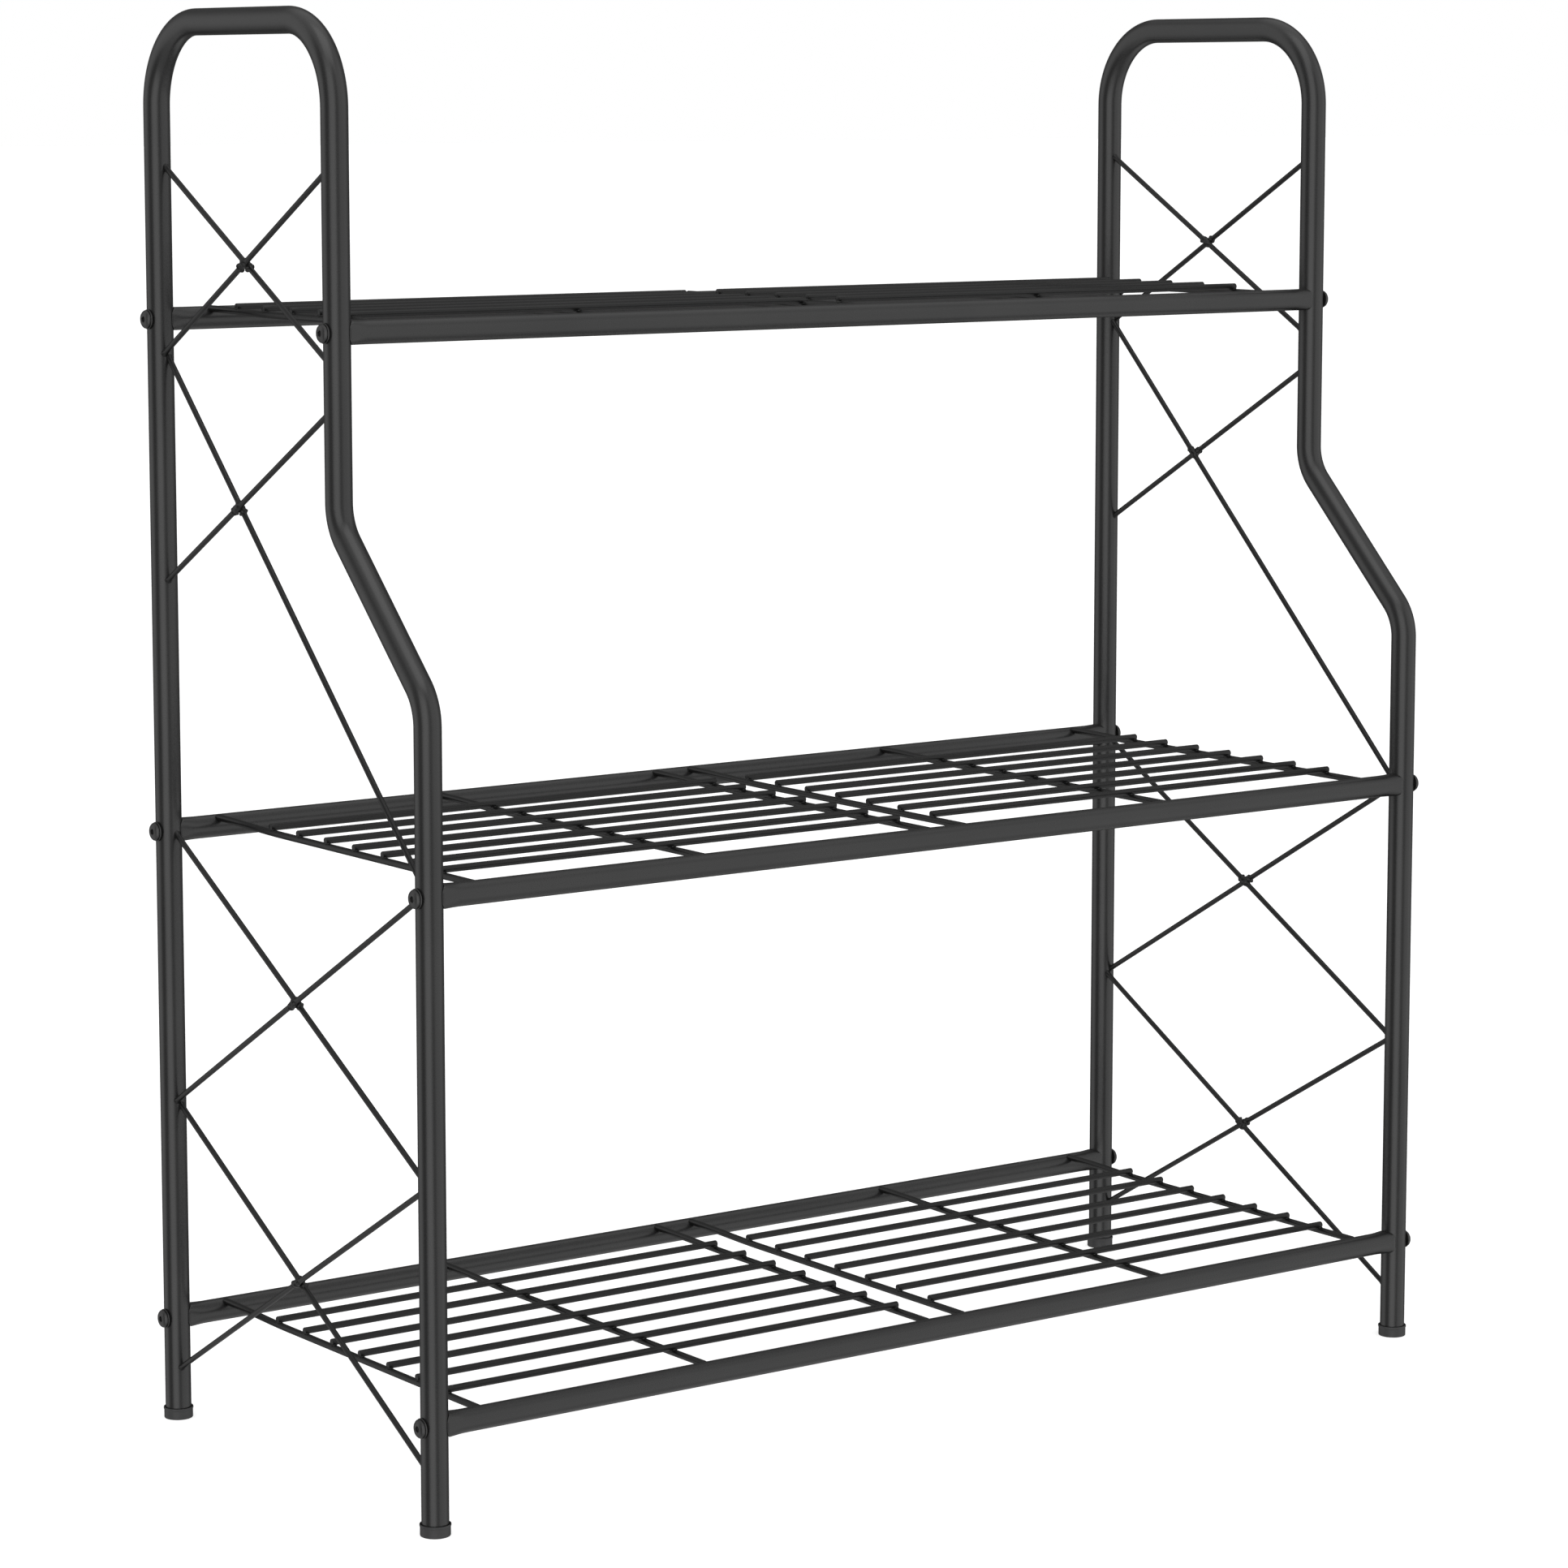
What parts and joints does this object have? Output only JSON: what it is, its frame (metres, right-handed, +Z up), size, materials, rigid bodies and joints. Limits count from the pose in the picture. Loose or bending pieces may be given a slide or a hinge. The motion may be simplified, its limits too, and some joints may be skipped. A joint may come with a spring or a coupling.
{
  "type": "tiered shoe rack",
  "caption": "Free-standing shoe rack: stacked wire shelves between bent-tube side frames with crossed wire braces, handle loops on top and a shallower top shelf.",
  "frame": {"origin": "centre of the footprint on the floor", "axes": "+X along the shelves to the right, -Y to the front, +Z up"},
  "size_m": [0.77, 0.3202, 0.8676],
  "materials": {
    "black_powder_coat": "satin black powder coat on steel",
    "black_zinc_screw": "black zinc plated steel",
    "black_plastic": "moulded black plastic with a fine grain"
  },
  "bodies": {
    "root": {"brace_left_1_falling": "black_powder_coat", "brace_left_1_rising": "black_powder_coat", "brace_left_2_falling": "black_powder_coat", "brace_left_2_rising": "black_powder_coat", "brace_left_3_falling": "black_powder_coat", "brace_left_3_rising": "black_powder_coat", "brace_left_4_falling": "black_powder_coat", "brace_left_4_rising": "black_powder_coat", "brace_right_1_falling": "black_powder_coat", "brace_right_1_rising": "black_powder_coat", "brace_right_2_falling": "black_powder_coat", "brace_right_2_rising": "black_powder_coat", "brace_right_3_falling": "black_powder_coat", "brace_right_3_rising": "black_powder_coat", "brace_right_4_falling": "black_powder_coat", "brace_right_4_rising": "black_powder_coat", "foot_cap_back_left": "black_plastic", "foot_cap_back_right": "black_plastic", "foot_cap_front_left": "black_plastic", "foot_cap_front_right": "black_plastic", "rail_bottom_back": "black_powder_coat", "rail_bottom_front": "black_powder_coat", "rail_middle_back": "black_powder_coat", "rail_middle_front": "black_powder_coat", "rail_top_back": "black_powder_coat", "rail_top_front": "black_powder_coat", "screw_bottom_back_left": "black_zinc_screw", "screw_bottom_back_right": "black_zinc_screw", "screw_bottom_front_left": "black_zinc_screw", "screw_bottom_front_right": "black_zinc_screw", "screw_middle_back_left": "black_zinc_screw", "screw_middle_back_right": "black_zinc_screw", "screw_middle_front_left": "black_zinc_screw", "screw_middle_front_right": "black_zinc_screw", "screw_top_back_left": "black_zinc_screw", "screw_top_back_right": "black_zinc_screw", "screw_top_front_left": "black_zinc_screw", "screw_top_front_right": "black_zinc_screw", "side_tube_left": "black_powder_coat", "side_tube_right": "black_powder_coat", "washer_bottom_back_left": "black_zinc_screw", "washer_bottom_back_right": "black_zinc_screw", "washer_bottom_front_left": "black_zinc_screw", "washer_bottom_front_right": "black_zinc_screw", "washer_middle_back_left": "black_zinc_screw", "washer_middle_back_right": "black_zinc_screw", "washer_middle_front_left": "black_zinc_screw", "washer_middle_front_right": "black_zinc_screw", "washer_top_back_left": "black_zinc_screw", "washer_top_back_right": "black_zinc_screw", "washer_top_front_left": "black_zinc_screw", "washer_top_front_right": "black_zinc_screw", "wire_panel_bottom_left": "black_powder_coat", "wire_panel_bottom_right": "black_powder_coat", "wire_panel_middle_left": "black_powder_coat", "wire_panel_middle_right": "black_powder_coat", "wire_panel_top_left": "black_powder_coat", "wire_panel_top_right": "black_powder_coat"}
  },
  "joints": []
}
